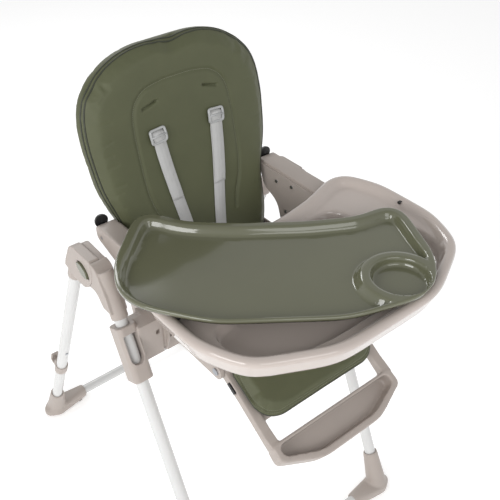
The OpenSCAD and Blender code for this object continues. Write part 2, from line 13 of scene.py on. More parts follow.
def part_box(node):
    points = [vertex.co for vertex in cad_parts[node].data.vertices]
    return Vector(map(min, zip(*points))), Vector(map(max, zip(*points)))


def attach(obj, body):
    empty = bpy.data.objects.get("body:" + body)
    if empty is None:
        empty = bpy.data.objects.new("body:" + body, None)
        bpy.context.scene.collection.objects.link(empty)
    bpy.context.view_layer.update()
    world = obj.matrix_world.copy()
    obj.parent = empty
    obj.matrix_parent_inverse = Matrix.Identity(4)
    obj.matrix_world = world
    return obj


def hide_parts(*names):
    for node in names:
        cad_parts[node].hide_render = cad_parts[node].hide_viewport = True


bl_info = {
    "name": "Folding High Chair",
    "version": (1, 0, 0),
    "blender": (4, 5, 0),
    "location": "View3D > Sidebar > High Chair",
    "description": "Pads, harness, trays and moulded parts of a folding high chair",
    "category": "Add Mesh",
}

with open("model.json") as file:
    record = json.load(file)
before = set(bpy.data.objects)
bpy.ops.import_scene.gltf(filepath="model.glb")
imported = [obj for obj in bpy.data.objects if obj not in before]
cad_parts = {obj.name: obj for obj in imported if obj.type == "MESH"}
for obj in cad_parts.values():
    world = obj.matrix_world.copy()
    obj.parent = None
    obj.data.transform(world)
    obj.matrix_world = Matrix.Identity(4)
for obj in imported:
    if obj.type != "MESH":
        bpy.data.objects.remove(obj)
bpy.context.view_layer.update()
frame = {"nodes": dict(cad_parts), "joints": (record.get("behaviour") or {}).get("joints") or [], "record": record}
MM = 0.001
SLOT_OF = {part["node"]: part["material_slot"] for part in frame["record"]["subparts"]}
BODY_OF = {n: b for b, names in frame["record"]["behaviour"]["bodies"].items() for n in names}
JOINTS = {joint["name"]: joint for joint in frame["joints"]}


# ------------------------------------------------------------------ places from the frame

def low(node):
    """Lowest corner of a CAD node, in millimetres."""
    return np.array(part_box(node)[0]) / MM


def high(node):
    """Highest corner of a CAD node, in millimetres."""
    return np.array(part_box(node)[1]) / MM


def place(origin, u, v, w):
    """Matrix that puts millimetres along u, v and w at an origin, in metres."""
    columns = [np.array(axis, float) * MM for axis in (u, v, w)] + [np.array(origin, float) * MM]
    return Matrix([[columns[c][r] for c in range(4)] for r in range(3)] + [[0, 0, 0, 1]])


BACK_PIVOT = (25, 35)     # the recline pin's place behind and above the backrest's own origin
BACK_UP = np.array(JOINTS["recline_handle_pull"]["axis"])
BACK_REAR = np.array([0, BACK_UP[2], -BACK_UP[1]])
BACK_ORIGIN = (np.array(JOINTS["backrest_recline"]["pos_m"]) / MM
               - BACK_PIVOT[0] * BACK_REAR - BACK_PIVOT[1] * BACK_UP)
BACK_FACE = place(BACK_ORIGIN, (1, 0, 0), BACK_UP, -BACK_REAR)

REST_TILT = math.radians(32)
REST_ORIGIN = np.array(JOINTS["legrest_tilt"]["pos_m"]) / MM
REST_FACE = place(REST_ORIGIN, (1, 0, 0), (0, math.cos(REST_TILT), math.sin(REST_TILT)),
                  (0, -math.sin(REST_TILT), math.cos(REST_TILT)))

INSERT_TURN = math.radians(-36.6)
INSERT_AT = (-54, -287, low("insert_tray")[2])
INSERT_FACE = place(INSERT_AT, (math.cos(INSERT_TURN), math.sin(INSERT_TURN), 0),
                    (-math.sin(INSERT_TURN), math.cos(INSERT_TURN), 0), (0, 0, 1))
WORLD = place((0, 0, 0), (1, 0, 0), (0, 1, 0), (0, 0, 1))


# ------------------------------------------------------------------ outlines and surfaces

def smoothstep(value, start, end):
    t = np.clip((value - start) / (end - start), 0, 1)
    return t * t * (3 - 2 * t)


def mirrored(half):
    """A right-hand half outline of (x, y, radius) corners joined to its mirror image."""
    return list(half) + [(-x, y, r) for x, y, r in reversed(half)]


def rounded(corners, step, passes=3):
    """A closed outline of (x, y, radius) corners, rounded, evenly spaced, anticlockwise and eased."""
    points = []
    for i, (x, y, radius) in enumerate(corners):
        b = np.array([x, y], float)
        a = np.array(corners[i - 1][:2], float)
        c = np.array(corners[(i + 1) % len(corners)][:2], float)
        u, w = (a - b) / np.linalg.norm(a - b), (c - b) / np.linalg.norm(c - b)
        half = math.acos(max(-1, min(1, float(u @ w)))) / 2
        if radius == 0 or half > math.radians(89.5):
            points.append(b)
            continue
        middle = b + (u + w) / np.linalg.norm(u + w) * radius / math.sin(half)
        first = b + u * radius / math.tan(half) - middle
        last = b + w * radius / math.tan(half) - middle
        start = math.atan2(first[1], first[0])
        turn = (math.atan2(last[1], last[0]) - start + 3 * math.pi) % (2 * math.pi) - math.pi
        for k in range(13):
            angle = start + turn * k / 12
            points.append(middle + radius * np.array([math.cos(angle), math.sin(angle)]))
    points = np.array(points)
    x, y = points.T
    area = np.sum(x * np.roll(y, -1) - y * np.roll(x, -1))
    return resampled(points if area > 0 else points[::-1], step, passes)


def resampled(points, step, passes):
    """Evenly spaced points round a closed loop, with its corners eased."""
    closed = np.vstack([points, points[:1]])
    at = np.concatenate([[0], np.cumsum(np.linalg.norm(np.diff(closed, axis=0), axis=1))])
    count = max(8, round(at[-1] / step))
    where = np.linspace(0, at[-1], count, endpoint=False)
    loop = np.column_stack([np.interp(where, at, closed[:, k]) for k in (0, 1)])
    for _ in range(passes):
        loop = loop / 2 + (np.roll(loop, 1, axis=0) + np.roll(loop, -1, axis=0)) / 4
    return loop


def inset(loop, distance):
    """The loop moved inwards by a distance."""
    along = np.roll(loop, -1, axis=0) - np.roll(loop, 1, axis=0)
    along /= np.linalg.norm(along, axis=1)[:, None]
    return loop + np.column_stack([-along[:, 1], along[:, 0]]) * distance


def depth_inside(points, loop):
    """Distance of each point inside a closed loop, negative outside it."""
    best = np.full(len(points), 1e12)
    inside = np.zeros(len(points), bool)
    for p, q in zip(loop, np.roll(loop, -1, axis=0)):
        along = q - p
        t = np.clip(((points - p) @ along) / (along @ along), 0, 1)
        gap = points - p - t[:, None] * along
        best = np.minimum(best, (gap ** 2).sum(axis=1))
        if p[1] != q[1]:
            level = (p[1] > points[:, 1]) != (q[1] > points[:, 1])
            inside ^= level & (points[:, 0] < p[0] + (points[:, 1] - p[1]) * along[0] / along[1])
    return np.where(inside, 1, -1) * np.sqrt(best)


def distance_to_path(points, path):
    """Distance of each point from an open path."""
    best = np.full(len(points), 1e12)
    for p, q in zip(path[:-1], path[1:]):
        along = q - p
        t = np.clip(((points - p) @ along) / (along @ along), 0, 1)
        best = np.minimum(best, ((points - p - t[:, None] * along) ** 2).sum(axis=1))
    return np.sqrt(best)


def surface(edge, insets, spacing, extra=()):
    """Points and triangles that fill an outline, the edge's own points first: rings that follow the edge,
    extra rings, and a grid inside."""
    points = [edge]
    for distance in insets:
        ring = inset(edge, distance)
        points.append(ring[depth_inside(ring, edge) > distance - 0.3])
    for ring in extra:
        points.append(ring[depth_inside(ring, edge) > max(insets, default=0) * 0.1 + 1])
    taken = {tuple(cell) for cell in np.round(np.vstack(points) / spacing).astype(int)}
    lowest, highest = edge.min(axis=0), edge.max(axis=0)
    xs = np.arange(lowest[0], highest[0], spacing)
    ys = np.arange(lowest[1], highest[1], spacing)
    grid = np.array([(x + (row % 2) * spacing / 2, y) for row, y in enumerate(ys) for x in xs])
    grid = grid[depth_inside(grid, edge) > (max(insets) if insets else 0) + spacing * 0.6]
    free = [tuple(cell) not in taken for cell in np.round(grid / spacing).astype(int)]
    points = np.vstack(points + [grid[free]])
    count = len(edge)
    loop = [(i, (i + 1) % count) for i in range(count)]
    made = delaunay_2d_cdt([Vector(p) for p in points], loop, [], 1, 1e-4)
    flat = np.array([tuple(p) for p in made[0]])
    place_of = {old: new for new, olds in enumerate(made[3]) for old in olds}
    order = [place_of[i] for i in range(count)]
    rest = [i for i in range(len(flat)) if i not in set(order)]
    renumber = {old: new for new, old in enumerate(order + rest)}
    faces = [[renumber[i] for i in face] for face in made[2]]
    return flat[order + rest], faces


def add_mesh(name, points, faces, matrix=WORLD):
    """A smooth object from points in millimetres of a local place."""
    mesh = bpy.data.meshes.new(name)
    mesh.from_pydata([tuple(float(value) for value in p) for p in points], [], faces)
    mesh.transform(matrix)
    if matrix.determinant() < 0:
        mesh.flip_normals()
    mesh.update()
    tidy = bmesh.new()
    tidy.from_mesh(mesh)
    bmesh.ops.recalc_face_normals(tidy, faces=tidy.faces)
    tidy.to_mesh(mesh)
    tidy.free()
    mesh.shade_smooth()
    thing = bpy.data.objects.new(name, mesh)
    bpy.context.scene.collection.objects.link(thing)
    return thing


def apply_modifiers(thing):
    """Bakes an object's modifiers into its mesh."""
    evaluated = thing.evaluated_get(bpy.context.evaluated_depsgraph_get())
    baked = bpy.data.meshes.new_from_object(evaluated)
    thing.modifiers.clear()
    thing.data = baked
    thing.data.shade_smooth()
    return thing


def modify(thing, kind, **settings):
    modifier = thing.modifiers.new(kind.title(), kind)
    for name, value in settings.items():
        setattr(modifier, name, value)
    return modifier


def rings_body(rings, closed_ends=True):
    """Points and faces of a body lofted through rings of equally many points."""
    count = len(rings[0])
    points = np.vstack(rings)
    faces = [[r * count + i, r * count + (i + 1) % count,
              (r + 1) * count + (i + 1) % count, (r + 1) * count + i]
             for r in range(len(rings) - 1) for i in range(count)]
    if closed_ends:
        faces.append(list(range(count))[::-1])
        faces.append([(len(rings) - 1) * count + i for i in range(count)])
    return points, faces


def closed_body(flat, faces, count, top, bottom):
    """A top and a bottom height over the same flat points, joined round the first `count` of them."""
    size = len(flat)
    points = np.vstack([np.column_stack([flat, top]), np.column_stack([flat, bottom])])
    made = [list(face) for face in faces] + [[i + size for i in reversed(face)] for face in faces]
    made += [[i, i + size, (i + 1) % count + size, (i + 1) % count] for i in range(count)]
    return points, made


def tube(path, radius, sides=8, closed=False):
    """Points and faces of a round tube along a path."""
    path = np.array(path, float)
    along = np.gradient(path, axis=0) if not closed else np.roll(path, -1, axis=0) - np.roll(path, 1, axis=0)
    along /= np.linalg.norm(along, axis=1)[:, None]
    guide = np.array([0.31, 0.17, 0.93])
    rings = []
    for p, t in zip(path, along):
        side = np.cross(t, guide)
        side /= np.linalg.norm(side)
        up = np.cross(side, t)
        rings.append([p + radius * (math.cos(a) * side + math.sin(a) * up)
                      for a in np.arange(sides) * 2 * math.pi / sides])
    if closed:
        points, faces = rings_body(rings + [rings[0]], closed_ends=False)
        size = len(rings) * sides
        return points[:size], [[i % size for i in face] for face in faces]
    return rings_body(rings)


def joined(parts):
    """Several (points, faces) bodies as one."""
    points, faces, start = [], [], 0
    for some, their in parts:
        points.append(np.array(some))
        faces += [[i + start for i in face] for face in their]
        start += len(some)
    return np.vstack(points), faces


# ------------------------------------------------------------------ materials

def linear(code):
    """Linear RGBA of an sRGB hex colour."""
    channels = [int(code[i:i + 2], 16) / 255 for i in (0, 2, 4)]
    return [c / 12.92 if c <= 0.04045 else ((c + 0.055) / 1.055) ** 2.4 for c in channels] + [1.0]


def add_node(tree, kind, values=None, links=None, **settings):
    """A node with its settings, socket values and incoming links."""
    node = tree.nodes.new(kind)
    for name, value in settings.items():
        setattr(node, name, value)
    for socket, value in (values or {}).items():
        node.inputs[socket].default_value = value
    for socket, source in (links or {}).items():
        tree.links.new(source, node.inputs[socket])
    return node


def new_material(name, colour, drift, patch_mm, **shader):
    """A material whose colour drifts softly towards a darker shade that keeps the share `drift` of its light.
    Gives it with its tree, its shader and its object coordinates."""
    material = bpy.data.materials.new(name)
    material.use_nodes = True
    tree = material.node_tree
    bsdf = tree.nodes["Principled BSDF"]
    for socket, value in shader.items():
        bsdf.inputs[socket.replace("_", " ")].default_value = value
    where = add_node(tree, "ShaderNodeTexCoord")
    patches = add_node(tree, "ShaderNodeTexNoise", {"Scale": 1 / (patch_mm * MM), "Detail": 3},
                       {"Vector": where.outputs["Object"]})
    mix = add_node(tree, "ShaderNodeMix", {6: colour, 7: [c * drift for c in colour[:3]] + [1.0]},
                   {"Factor": patches.outputs["Fac"]}, data_type="RGBA")
    tree.links.new(mix.outputs[2], bsdf.inputs["Base Color"])
    material.diffuse_color = colour
    return material, tree, bsdf, where.outputs["Object"]


def add_grain(tree, bsdf, where, size_mm, depth_mm, kind="ShaderNodeTexNoise"):
    """Fine surface grain of a real size, as bump."""
    texture = add_node(tree, kind, {"Scale": 1 / (size_mm * MM)}, {"Vector": where})
    output = "Distance" if kind == "ShaderNodeTexVoronoi" else "Fac"
    bump = add_node(tree, "ShaderNodeBump", {"Strength": 1.0, "Distance": depth_mm * MM},
                    {"Height": texture.outputs[output]})
    tree.links.new(bump.outputs["Normal"], bsdf.inputs["Normal"])
    return bump


def powder_coated_steel():
    # White polyester powder baked on steel tube: glossy, with a faint orange peel of about 3 mm.
    made = new_material("powder_coated_steel_white", linear("d2d2d1"), 0.918, 90, Roughness=0.26,
                        Coat_Weight=0.3)
    add_grain(*made[1:], 3, 0.02)
    return made[0]


def moulded_polypropylene(colour):
    # Polypropylene from a finely sparked mould: an even satin with a pore of about 0.7 mm.
    made = new_material("moulded_polypropylene_beige", colour, 0.925, 60, Roughness=0.4,
                        Specular_IOR_Level=0.45)
    add_grain(*made[1:], 0.7, 0.012)
    return made[0]


def polished_abs(word, colour, drift, roughness):
    # ABS, coloured through, from a mirror-polished mould: clear reflections of windows and a very
    # slight ripple where the wall has sunk.
    made = new_material("polished_abs_" + word, colour, drift, 80, Roughness=roughness, Coat_Weight=0.5,
                        Coat_Roughness=0.05)
    add_grain(*made[1:], 28, 0.05)
    return made[0]


def coated_leatherette(colour):
    # Polyurethane-coated cloth, embossed with a pebble of about 1.1 mm: soft sheen, dull highlights.
    material, tree, bsdf, where = new_material("coated_leatherette_olive", colour, 0.83, 45, Roughness=0.55,
                                               Specular_IOR_Level=0.35,
                                               Sheen_Weight=0.04, Sheen_Roughness=0.4)
    pebble = add_grain(tree, bsdf, where, 1.1, 0.05, "ShaderNodeTexVoronoi")
    creases = add_node(tree, "ShaderNodeTexNoise", {"Scale": 1 / (16 * MM), "Detail": 4}, {"Vector": where})
    soft = add_node(tree, "ShaderNodeBump", {"Strength": 0.6, "Distance": 0.35 * MM},
                    {"Height": creases.outputs["Fac"], "Normal": pebble.outputs["Normal"]})
    tree.links.new(soft.outputs["Normal"], bsdf.inputs["Normal"])
    return material


def piping_vinyl():
    # Darker vinyl drawn over a cord and sewn into the seams.
    made = new_material("sewn_vinyl_piping", linear("34372a"), 0.69, 20, Roughness=0.45)
    add_grain(*made[1:], 1.1, 0.03)
    return made[0]


def sewing_thread():
    # Twisted polyester thread, a little lighter than the cover.
    made = new_material("polyester_thread", linear("7b7d66"), 0.766, 4, Roughness=0.7, Sheen_Weight=0.2)
    add_grain(*made[1:], 0.5, 0.05)
    return made[0]


def woven_webbing():
    # Polyester webbing: a plain weave of 1.6 mm ribs, drawn a little coarse so that it shows.
    material, tree, bsdf, _ = new_material("woven_polyester_webbing", linear("bcbcbb"), 0.833, 30,
                                               Roughness=0.75, Sheen_Weight=0.3)
    uv = add_node(tree, "ShaderNodeUVMap", uv_map="strap")
    ribs = add_node(tree, "ShaderNodeTexWave", {"Scale": 1 / (1.6 * MM) / 20, "Distortion": 0.4},
                    {"Vector": uv.outputs["UV"]}, bands_direction="DIAGONAL")
    cross = add_node(tree, "ShaderNodeTexWave", {"Scale": 1 / (1.2 * MM) / 20, "Distortion": 0.4},
                     {"Vector": uv.outputs["UV"]}, bands_direction="X")
    both = add_node(tree, "ShaderNodeMath", None, {0: ribs.outputs["Fac"], 1: cross.outputs["Fac"]},
                    operation="ADD")
    bump = add_node(tree, "ShaderNodeBump", {"Strength": 0.7, "Distance": 0.25 * MM},
                    {"Height": both.outputs["Value"]})
    tree.links.new(bump.outputs["Normal"], bsdf.inputs["Normal"])
    return material


def moulded_acetal():
    # Grey acetal buckles: smooth and slightly waxy.
    made = new_material("moulded_acetal_grey", linear("b0b1b1"), 0.88, 15, Roughness=0.32)
    add_grain(*made[1:], 0.8, 0.01)
    return made[0]


def moulded_nylon():
    # Black glass-filled nylon: dull, with a dry fine grain.
    made = new_material("moulded_nylon_black", linear("1d1d1d"), 0.62, 20, Roughness=0.45)
    add_grain(*made[1:], 0.8, 0.02)
    return made[0]


def zinc_plated_steel():
    # Bright zinc on turned steel: fine circular marks read as a soft streak.
    made = new_material("zinc_plated_steel", linear("b8bbc0"), 0.83, 8, Roughness=0.3, Metallic=1.0)
    add_grain(*made[1:], 0.4, 0.01)
    return made[0]


def moulded_rubber():
    # Thermoplastic rubber: matt and slightly chalky.
    made = new_material("moulded_rubber_grey", linear("8d8781"), 0.85, 12, Roughness=0.8)
    add_grain(*made[1:], 0.9, 0.03)
    return made[0]


MATERIALS = {}


def mix_finishes(look):
    """Makes every finish, by the record's slot or by the sewn part that it is for."""
    MATERIALS.update({
        "white_tube": powder_coated_steel(),
        "beige_plastic": moulded_polypropylene(list(look.moulding_colour)),
        "beige_tray": polished_abs("beige", list(look.tray_colour), 0.93, 0.12),
        "green_plastic": polished_abs("green", list(look.loose_tray_colour), 0.895, 0.13),
        "olive_cover": coated_leatherette(list(look.cover_colour)),
        "strap": woven_webbing(),
        "strap_hardware": moulded_acetal(),
        "black_plastic": moulded_nylon(),
        "steel": zinc_plated_steel(),
        "foot_rubber": moulded_rubber(),
        "piping": piping_vinyl(),
        "thread": sewing_thread(),
    })


def finish_piece(thing, body, slot, replaced=(), material=None):
    """Gives a piece its body and the material of its slot, or the material named, and hides the CAD nodes that it
    stands for.
    """
    thing.data.materials.clear()
    thing.data.materials.append(MATERIALS[material or slot])
    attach(thing, body)
    if replaced:
        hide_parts(*replaced)
    return thing


def moulded(node, voxel_mm, passes):
    """A moulded part from a CAD node, with every edge and inner corner run out to a soft radius."""
    mesh = frame["nodes"][node].data.copy()
    thing = bpy.data.objects.new(node + "_moulding", mesh)
    bpy.context.scene.collection.objects.link(thing)
    welded = bmesh.new()
    welded.from_mesh(mesh)
    bmesh.ops.remove_doubles(welded, verts=welded.verts, dist=0.02 * MM)
    welded.to_mesh(mesh)
    welded.free()
    modify(thing, "REMESH", mode="VOXEL", voxel_size=voxel_mm * MM, use_smooth_shade=True)
    modify(thing, "SMOOTH", factor=0.5, iterations=passes)
    apply_modifiers(thing)
    return finish_piece(thing, BODY_OF[node], SLOT_OF[node], [node])


def plump(thing, matrix, voxel_mm, cap_mm, pressure, spread_mm=3.0):
    """Fills a closed cushion by cloth simulation. No point rises further than the cap or spreads further
    sideways than the sewn edge lets it."""
    modify(thing, "REMESH", mode="VOXEL", voxel_size=voxel_mm * MM, use_smooth_shade=True)
    apply_modifiers(thing)
    start = np.array([v.co for v in thing.data.vertices])
    cloth = modify(thing, "CLOTH")
    cloth.settings.use_pressure = True
    cloth.settings.uniform_pressure_force = pressure
    cloth.settings.effector_weights.gravity = 0
    cloth.settings.quality = 5
    scene = bpy.context.scene
    for step in range(1, 21):
        scene.frame_set(step)
    evaluated = thing.evaluated_get(bpy.context.evaluated_depsgraph_get())
    moved = np.array([v.co for v in evaluated.data.vertices]) - start
    thing.modifiers.clear()
    scene.frame_set(1)
    turn = np.array(matrix.to_3x3().normalized())
    moved = moved @ turn
    length = np.maximum(np.linalg.norm(moved[:, :2], axis=1), 1e-9)
    moved[:, :2] *= np.minimum(1, spread_mm * MM / length)[:, None]
    moved[:, 2] = np.clip(moved[:, 2], -cap_mm * MM, cap_mm * MM)
    moved = moved @ turn.T
    thing.data.vertices.foreach_set("co", (start + moved).astype(np.float32).ravel())
    return thing


def local_points(thing, matrix):
    """A mesh's points in the millimetres of a local place."""
    back = np.array(matrix.inverted())
    points = np.array([v.co for v in thing.data.vertices])
    return points @ back[:3, :3].T + back[:3, 3]


def set_local_points(thing, points, matrix):
    forward = np.array(matrix)
    moved = points @ forward[:3, :3].T + forward[:3, 3]
    thing.data.vertices.foreach_set("co", moved.astype(np.float32).ravel())
    thing.data.update()


def sew(thing, matrix, seams, front_above=0.0):
    """Draws sewn channels into the front of a cushion: (path, width, depth) in its local place."""
    modify(thing, "SUBSURF", levels=1, render_levels=1)
    apply_modifiers(thing)
    points = local_points(thing, matrix)
    front = smoothstep(points[:, 2], front_above - 3, front_above + 3)
    for path, width, depth in seams:
        gap = distance_to_path(points[:, :2], np.array(path, float))
        points[:, 2] -= depth * np.exp(-(gap / width) ** 2) * front
    set_local_points(thing, points, matrix)
    thing.data.shade_smooth()
    return thing


def height_over(thing, matrix, flat):
    """Height of a cushion's front over flat points, in its local place."""
    lowest = matrix.inverted()
    heights = []
    direction = (matrix.to_3x3() @ Vector((0, 0, -1))).normalized()
    for x, y in flat:
        hit = thing.ray_cast(matrix @ Vector((x, y, 200)), direction)
        heights.append((lowest @ hit[1]).z if hit[0] else 0.0)
    return np.array(heights)


def stitches(name, path, matrix, thing, pitch=3.4, length=2.3, radius=0.42):
    """A row of thread stitches that lies on a cushion."""
    path = np.array(path, float)
    at = np.concatenate([[0], np.cumsum(np.linalg.norm(np.diff(path, axis=0), axis=1))])
    middles = np.arange(pitch / 2, at[-1], pitch)
    ends = [np.column_stack([np.interp(middles + side * length / 2, at, path[:, k]) for k in (0, 1)])
            for side in (-1, 1)]
    heights = [height_over(thing, matrix, end) for end in ends]
    parts = []
    for i in range(len(middles)):
        a = np.append(ends[0][i], heights[0][i] - 0.15)
        b = np.append(ends[1][i], heights[1][i] - 0.15)
        crown = np.array([0, 0, 0.35])
        parts.append(tube([a, a * 0.6 + b * 0.4 + crown, a * 0.4 + b * 0.6 + crown, b], radius, 5))
    return add_mesh(name, *joined(parts), matrix)


def strip(name, centres, sides, width, thickness, matrix=WORLD):
    """Flat webbing along centre points, its width along the side vectors, with its run kept as a UV map."""
    centres, sides = np.array(centres, float), np.array(sides, float)
    sides /= np.linalg.norm(sides, axis=1)[:, None]
    along = np.gradient(centres, axis=0)
    ups = np.cross(sides, along)
    ups /= np.linalg.norm(ups, axis=1)[:, None]
    half, lift = width / 2, thickness / 2
    section = [(-half, 0), (-half + 0.5, lift), (-half + 2.5, lift * 0.8), (0, lift * 0.9),
               (half - 2.5, lift * 0.8), (half - 0.5, lift), (half, 0), (half - 0.5, -lift),
               (0, -lift * 0.9), (-half + 0.5, -lift)]
    rings = [[c + s * a + u * b for a, b in section] for c, s, u in zip(centres, sides, ups)]
    points, faces = rings_body(rings)
    thing = add_mesh(name, points, faces, matrix)
    run = np.concatenate([[0], np.cumsum(np.linalg.norm(np.diff(centres, axis=0), axis=1))])
    uv = thing.data.uv_layers.new(name="strap")
    count = len(section)
    for loop in thing.data.loops:
        ring, k = divmod(loop.vertex_index, count)
        uv.data[loop.index].uv = (section[k][0] * MM, run[ring] * MM)
    return thing


def bent(points, count):
    """A smooth open curve through a few points."""
    points = np.array(points, float)
    padded = np.vstack([2 * points[0] - points[1], points, 2 * points[-1] - points[-2]])
    made = []
    for t in np.linspace(0, len(points) - 1 - 1e-9, count):
        i, f = int(t), t - int(t)
        a, b, c, d = padded[i:i + 4]
        made.append(0.5 * (2 * b + (c - a) * f + (2 * a - 5 * b + 4 * c - d) * f ** 2
                           + (3 * b - a - 3 * c + d) * f ** 3))
    return np.array(made)


# ------------------------------------------------------------------ backrest, seat and calf cushions

def on_rim(thing, matrix, loop, level):
    """A loop's points, moved out to a cushion's side at a level of its local place."""
    along = np.roll(loop, -1, axis=0) - np.roll(loop, 1, axis=0)
    along /= np.linalg.norm(along, axis=1)[:, None]
    outward = np.column_stack([along[:, 1], -along[:, 0]])
    back = matrix.inverted()
    turn = matrix.to_3x3()
    found = []
    for p, n in zip(loop, outward):
        start = matrix @ Vector((*(p + n * 45), level))
        hit = thing.ray_cast(start, (turn @ Vector((*-n, 0))).normalized())
        found.append(tuple(back @ hit[1]) if hit[0] else (*p, level))
    found = np.array(found)
    for _ in range(2):
        found = found / 2 + (np.roll(found, 1, axis=0) + np.roll(found, -1, axis=0)) / 4
    return found


def backrest_half(extra):
    """Right-hand corners of the backrest's front seam, `extra` wider beside the child's head."""
    return [(140, 26, 14), (158, 100, 70), (162 + extra * 0.1, 186, 60), (174 + extra * 0.8, 250, 60),
            (181 + extra, 330, 90), (179 + extra, 452, 116), (64, 476 + extra * 0.2, 130)]


def make_backrest_pad(look):
    """Cushion with a crowned front, a wide side band and an arched sewn panel."""
    seam = rounded(mirrored(backrest_half(-2)), 6)
    flat, faces = surface(seam, (5, 11, 18), 9)
    depth = depth_inside(flat, seam)
    depth[:len(seam)] = 0
    top = -9 + 6 * np.sqrt(np.clip(depth / 34, 0, 1) * (2 - np.clip(depth / 34, 0, 1)))
    front = np.column_stack([flat, top])
    count = len(seam)
    outward = inset(seam, -1) - seam
    reach = (3 + 13 * smoothstep(seam[:, 1], 150, 280)) * (1 - 0.55 * smoothstep(seam[:, 1], 400, 478))
    rings = []
    for level, swell in ((-11, 0.5), (-16, 1.0), (-23, 1.15), (-31, 1.15), (-37, 0.9)):
        rings.append(np.column_stack([seam + outward * (reach * swell)[:, None], np.full(count, level)]))
    points, made, size = [front], [list(face) for face in faces], len(front)
    previous = list(range(count))
    for ring in rings:
        current = list(range(size, size + count))
        made += [[previous[i], current[i], current[(i + 1) % count], previous[(i + 1) % count]]
                 for i in range(count)]
        points.append(ring)
        previous, size = current, size + count
    made.append(previous)
    thing = add_mesh("backrest_cushion", np.vstack(points), made, BACK_FACE)
    plump(thing, BACK_FACE, 5, look.plump_mm, look.plump_pressure)
    shaped = local_points(thing, BACK_FACE)
    shaped[:, 2] = np.maximum(shaped[:, 2], -37)
    limit = 163 + 40 * smoothstep(shaped[:, 1], 182, 262)
    shaped[:, 0] = np.clip(shaped[:, 0], -limit, limit)
    set_local_points(thing, shaped, BACK_FACE)
    panel = bent([(78, 132), (84, 160), (97, 195), (104, 240), (105, 330), (98, 378), (72, 405),
                  (30, 414)], 60)
    panel = np.vstack([panel, panel[::-1] * (-1, 1)])
    seams = [(panel, 3.2, 2.8)]
    for side in (-1, 1):
        seams.append(([(side * 51, 382), (side * 80, 374)], 1.6, 8.0))
    for x, y, length, lean in edge_gathers():
        seams.append(([(x, y), (x + length * math.cos(lean), y + length * math.sin(lean))], 2.6, 0.7))
    sew(thing, BACK_FACE, seams, front_above=-2)
    finish_piece(thing, "backrest", "olive_cover", ["backrest_pad"])
    row = stitches("backrest_panel_stitches", panel, BACK_FACE, thing)
    finish_piece(row, "backrest", "olive_cover", material="thread")
    loops = [tube(on_rim(thing, BACK_FACE, seam, level), 1.5, 7, closed=True) for level in (-9.5, -14.5)]
    piping = add_mesh("backrest_piping", *joined(loops), BACK_FACE)
    finish_piece(piping, "backrest", "olive_cover", material="piping")
    return thing


def edge_gathers():
    """Starts, lengths and directions of the small gathers along the backrest's side seams."""
    made = []
    for k in range(13):
        y = 66 + 25 * k
        reach = 150 if y < 180 else 164
        for side in (-1, 1):
            wobble = 6 * math.sin(k * 2.3 + side)
            length = -side * (16 + 5 * math.sin(k * 1.7))
            made.append((side * (reach + 2), y + wobble, length, 0.25 * math.sin(k * 3.1)))
    return made


def make_flat_cushion(name, matrix, corners, bottom, top, look, seams, node, body):
    """Cushion with a crowned top over a rounded outline."""
    edge = rounded(corners, 5)
    flat, faces = surface(edge, (3, 8), 8)
    depth = depth_inside(flat, edge)
    depth[:len(edge)] = 0
    rise = np.clip(depth / 16, 0, 1)
    middle = (bottom + top) / 2
    upper = middle + (top - middle) * np.sqrt(rise * (2 - rise))
    lower = np.full(len(flat), float(bottom)) + (middle - bottom - 1) * (1 - np.clip(depth / 5, 0, 1))
    thing = add_mesh(name, *closed_body(flat, faces, len(edge), upper, lower), matrix)
    plump(thing, matrix, 4, look.plump_mm * 0.6, look.plump_pressure)
    shaped = local_points(thing, matrix)
    shaped[:, 2] = np.maximum(shaped[:, 2], bottom)
    set_local_points(thing, shaped, matrix)
    sew(thing, matrix, seams, front_above=middle + 2)
    finish_piece(thing, body, "olive_cover", [node])
    rim = tube(on_rim(thing, matrix, edge, middle), 1.4, 7, closed=True)
    finish_piece(add_mesh(name + "_piping", *rim, matrix), body, "olive_cover", material="piping")
    return thing


def make_seat_cushion(look):
    corners = mirrored([(145, -66, 20), (145, -190, 40), (124, -258, 40)])
    channels = [([(-100, y), (100, y)], 3.0, 2.4) for y in (-128, -190)]
    make_flat_cushion("seat_cushion", WORLD, corners, low("seat_pad")[2], high("seat_pad")[2], look, channels,
                      "seat_pad", "seat_carriage")


def make_calf_cushion(look):
    corners = mirrored([(143, -10, 10), (143, -125, 46)])
    border = rounded(mirrored([(134, -19, 8), (134, -116, 38)]), 5)
    closed = np.vstack([border, border[:1]])
    thing = make_flat_cushion("calf_cushion", REST_FACE, corners, 9, 24, look, [(closed, 2.4, 1.8)],
                                    "calf_pad", "legrest")
    for i, gap in enumerate((-1.8, 1.8)):
        row = stitches("calf_stitches_" + str(i), inset(border, gap)[:-1], REST_FACE, thing)
        finish_piece(row, "legrest", "olive_cover", material="thread")


# ------------------------------------------------------------------ harness

STRAP_W = 25
STRAP_T = 1.8


